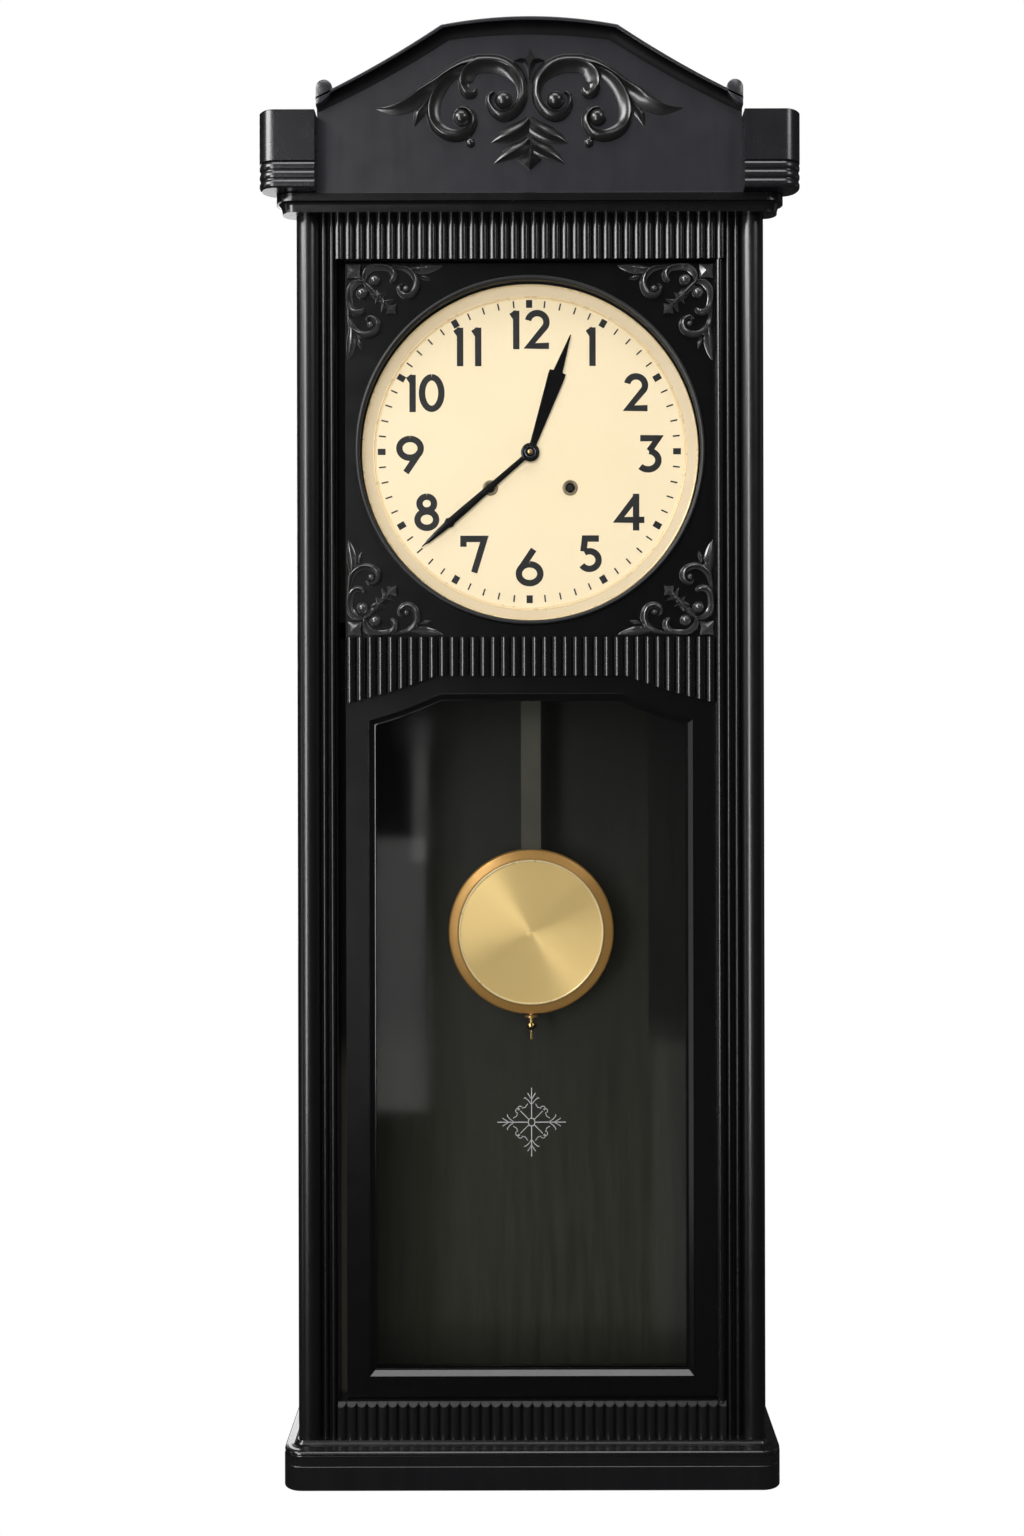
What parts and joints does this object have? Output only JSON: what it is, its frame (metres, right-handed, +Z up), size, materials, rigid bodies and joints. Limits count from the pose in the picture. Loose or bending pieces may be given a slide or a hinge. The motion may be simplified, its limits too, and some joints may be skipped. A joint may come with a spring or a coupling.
{
  "type": "pendulum wall clock",
  "caption": "Black lacquered pendulum wall clock with glazed door, reeded friezes, carved crest, round dial with hands, brass movement, gong and swinging brass bob.",
  "frame": {"origin": "centre of the hanging hole on the wall plane", "axes": "+X to the viewer's right, +Y into the wall, +Z up"},
  "size_m": [0.447, 0.167, 1.22],
  "materials": {
    "black_lacquer": "black lacquer, gloss",
    "stained_wood": "dark stain, matt",
    "brass": "brushed",
    "bob_brass": "turned",
    "bronze": "turned, darkened",
    "dial_enamel": "cream enamel",
    "iron": "japanned",
    "steel": "polished",
    "blued_steel": "blued",
    "rod_lacquer": "dark grey lacquer",
    "hand_black": "black, satin",
    "glass": "clear"
  },
  "bodies": {
    "case": {"back_board": "stained_wood", "left_side_board": "black_lacquer", "right_side_board": "black_lacquer", "top_board": "black_lacquer", "bottom_board": "black_lacquer", "hanger_plate": "brass", "plinth_block": "black_lacquer", "plinth_moulding": "black_lacquer", "lower_frieze": "black_lacquer", "pilasters": "black_lacquer", "door_posts": "black_lacquer", "upper_frieze": "black_lacquer", "cornice_moulding": "black_lacquer", "left_crown_block": "black_lacquer", "right_crown_block": "black_lacquer", "pediment_panel": "black_lacquer", "crest_moulding": "black_lacquer", "crest_carving": "black_lacquer", "dial_board": "stained_wood", "dial_plate": "dial_enamel", "winding_eyelets": "brass", "gong_stand": "iron", "gong_coil": "blued_steel", "movement_front_plate": "brass", "movement_back_plate": "brass", "suspension_bracket": "brass", "catch_magnet": "steel", "door_pivot_pins": "steel"},
    "door": {"dial_surround": "black_lacquer", "corner_carvings": "black_lacquer", "middle_frieze": "black_lacquer", "left_stile": "black_lacquer", "right_stile": "black_lacquer", "arched_top_rail": "black_lacquer", "bottom_rail": "black_lacquer", "glazing_beads": "black_lacquer", "lower_glass": "glass", "bezel_ring": "black_lacquer", "dial_glass": "glass", "hinge_bead": "black_lacquer", "catch_plate": "steel"},
    "pendulum": {"suspension_spring": "steel", "pendulum_rod": "rod_lacquer", "bob_shell": "bronze", "bob_face": "bob_brass"},
    "rating_nut": {"rating_nut": "bob_brass"},
    "minute_hand": {"minute_hand": "hand_black", "cannon_pinion": "steel"},
    "hour_hand": {"hour_hand": "hand_black"},
    "minute_wheel": {"minute_wheel": "brass"},
    "center_wheel": {"center_wheel": "brass"},
    "second_wheel": {"second_wheel": "brass"},
    "third_wheel": {"third_wheel": "brass"},
    "escape_wheel": {"escape_wheel": "brass"},
    "anchor": {"anchor": "steel"},
    "time_barrel": {"time_barrel": "brass"},
    "strike_barrel": {"strike_barrel": "brass"},
    "time_winding_arbor": {"time_winding_arbor": "steel"},
    "strike_winding_arbor": {"strike_winding_arbor": "steel"},
    "hammer": {"hammer": "brass"}
  },
  "joints": [
    {"name": "door_hinge", "type": "hinge", "parent": "case", "child": "door", "pos_m": [0.159, -0.134, -0.475], "axis": [0, 0, 1], "range_deg": [0, 95]},
    {"name": "pendulum_swing", "type": "hinge", "parent": "case", "child": "pendulum", "pos_m": [0, -0.046, -0.092], "axis": [0, 1, 0], "range_deg": [-4, 4]},
    {"name": "rating_nut_turn", "type": "hinge", "parent": "pendulum", "child": "rating_nut", "pos_m": [0, -0.046, -0.654], "axis": [0, 0, 1], "continuous": true},
    {"name": "anchor_rock", "type": "hinge", "parent": "case", "child": "anchor", "pos_m": [0, -0.06, -0.092], "axis": [0, 1, 0], "range_deg": [-4, 4]},
    {"name": "minute_hand_turn", "type": "hinge", "parent": "case", "child": "minute_hand", "pos_m": [0, -0.11, -0.154], "axis": [0, 1, 0], "continuous": true},
    {"name": "minute_wheel_turn", "type": "hinge", "parent": "case", "child": "minute_wheel", "pos_m": [0, -0.1, -0.136], "axis": [0, 1, 0], "continuous": true},
    {"name": "hour_hand_turn", "type": "hinge", "parent": "case", "child": "hour_hand", "pos_m": [0, -0.11, -0.154], "axis": [0, 1, 0], "continuous": true},
    {"name": "third_wheel_turn", "type": "hinge", "parent": "case", "child": "third_wheel", "pos_m": [-0.01333, -0.08, -0.13404], "axis": [0, 1, 0], "continuous": true},
    {"name": "center_wheel_turn", "type": "hinge", "parent": "case", "child": "center_wheel", "pos_m": [0, -0.08, -0.154], "axis": [0, 1, 0], "continuous": true},
    {"name": "second_wheel_turn", "type": "hinge", "parent": "case", "child": "second_wheel", "pos_m": [0.02836, -0.08, -0.14896], "axis": [0, 1, 0], "continuous": true},
    {"name": "escape_wheel_turn", "type": "hinge", "parent": "case", "child": "escape_wheel", "pos_m": [0, -0.08, -0.1175], "axis": [0, 1, 0], "continuous": true},
    {"name": "time_barrel_turn", "type": "hinge", "parent": "case", "child": "time_barrel", "pos_m": [0.034, -0.08, -0.1835], "axis": [0, 1, 0], "continuous": true},
    {"name": "strike_barrel_turn", "type": "hinge", "parent": "case", "child": "strike_barrel", "pos_m": [-0.034, -0.08, -0.1835], "axis": [0, 1, 0], "continuous": true},
    {"name": "time_winding_turn", "type": "hinge", "parent": "case", "child": "time_winding_arbor", "pos_m": [0.034, -0.08, -0.1835], "axis": [0, 1, 0], "continuous": true},
    {"name": "strike_winding_turn", "type": "hinge", "parent": "case", "child": "strike_winding_arbor", "pos_m": [-0.034, -0.08, -0.1835], "axis": [0, 1, 0], "continuous": true},
    {"name": "hammer_swing", "type": "hinge", "parent": "case", "child": "hammer", "pos_m": [-0.062, -0.04, -0.176], "axis": [0, 1, 0], "range_deg": [-1, 15]}
  ],
  "couplings": [
    {"joint": "anchor_rock", "follows": "pendulum_swing", "ratio": 1},
    {"joint": "minute_wheel_turn", "follows": "minute_hand_turn", "ratio": -0.33333},
    {"joint": "hour_hand_turn", "follows": "minute_hand_turn", "ratio": 0.083333},
    {"joint": "center_wheel_turn", "follows": "third_wheel_turn", "ratio": -0.11111},
    {"joint": "escape_wheel_turn", "follows": "third_wheel_turn", "ratio": -9.625},
    {"joint": "second_wheel_turn", "follows": "third_wheel_turn", "ratio": 0.013889},
    {"joint": "time_barrel_turn", "follows": "third_wheel_turn", "ratio": -0.0023148}
  ]
}
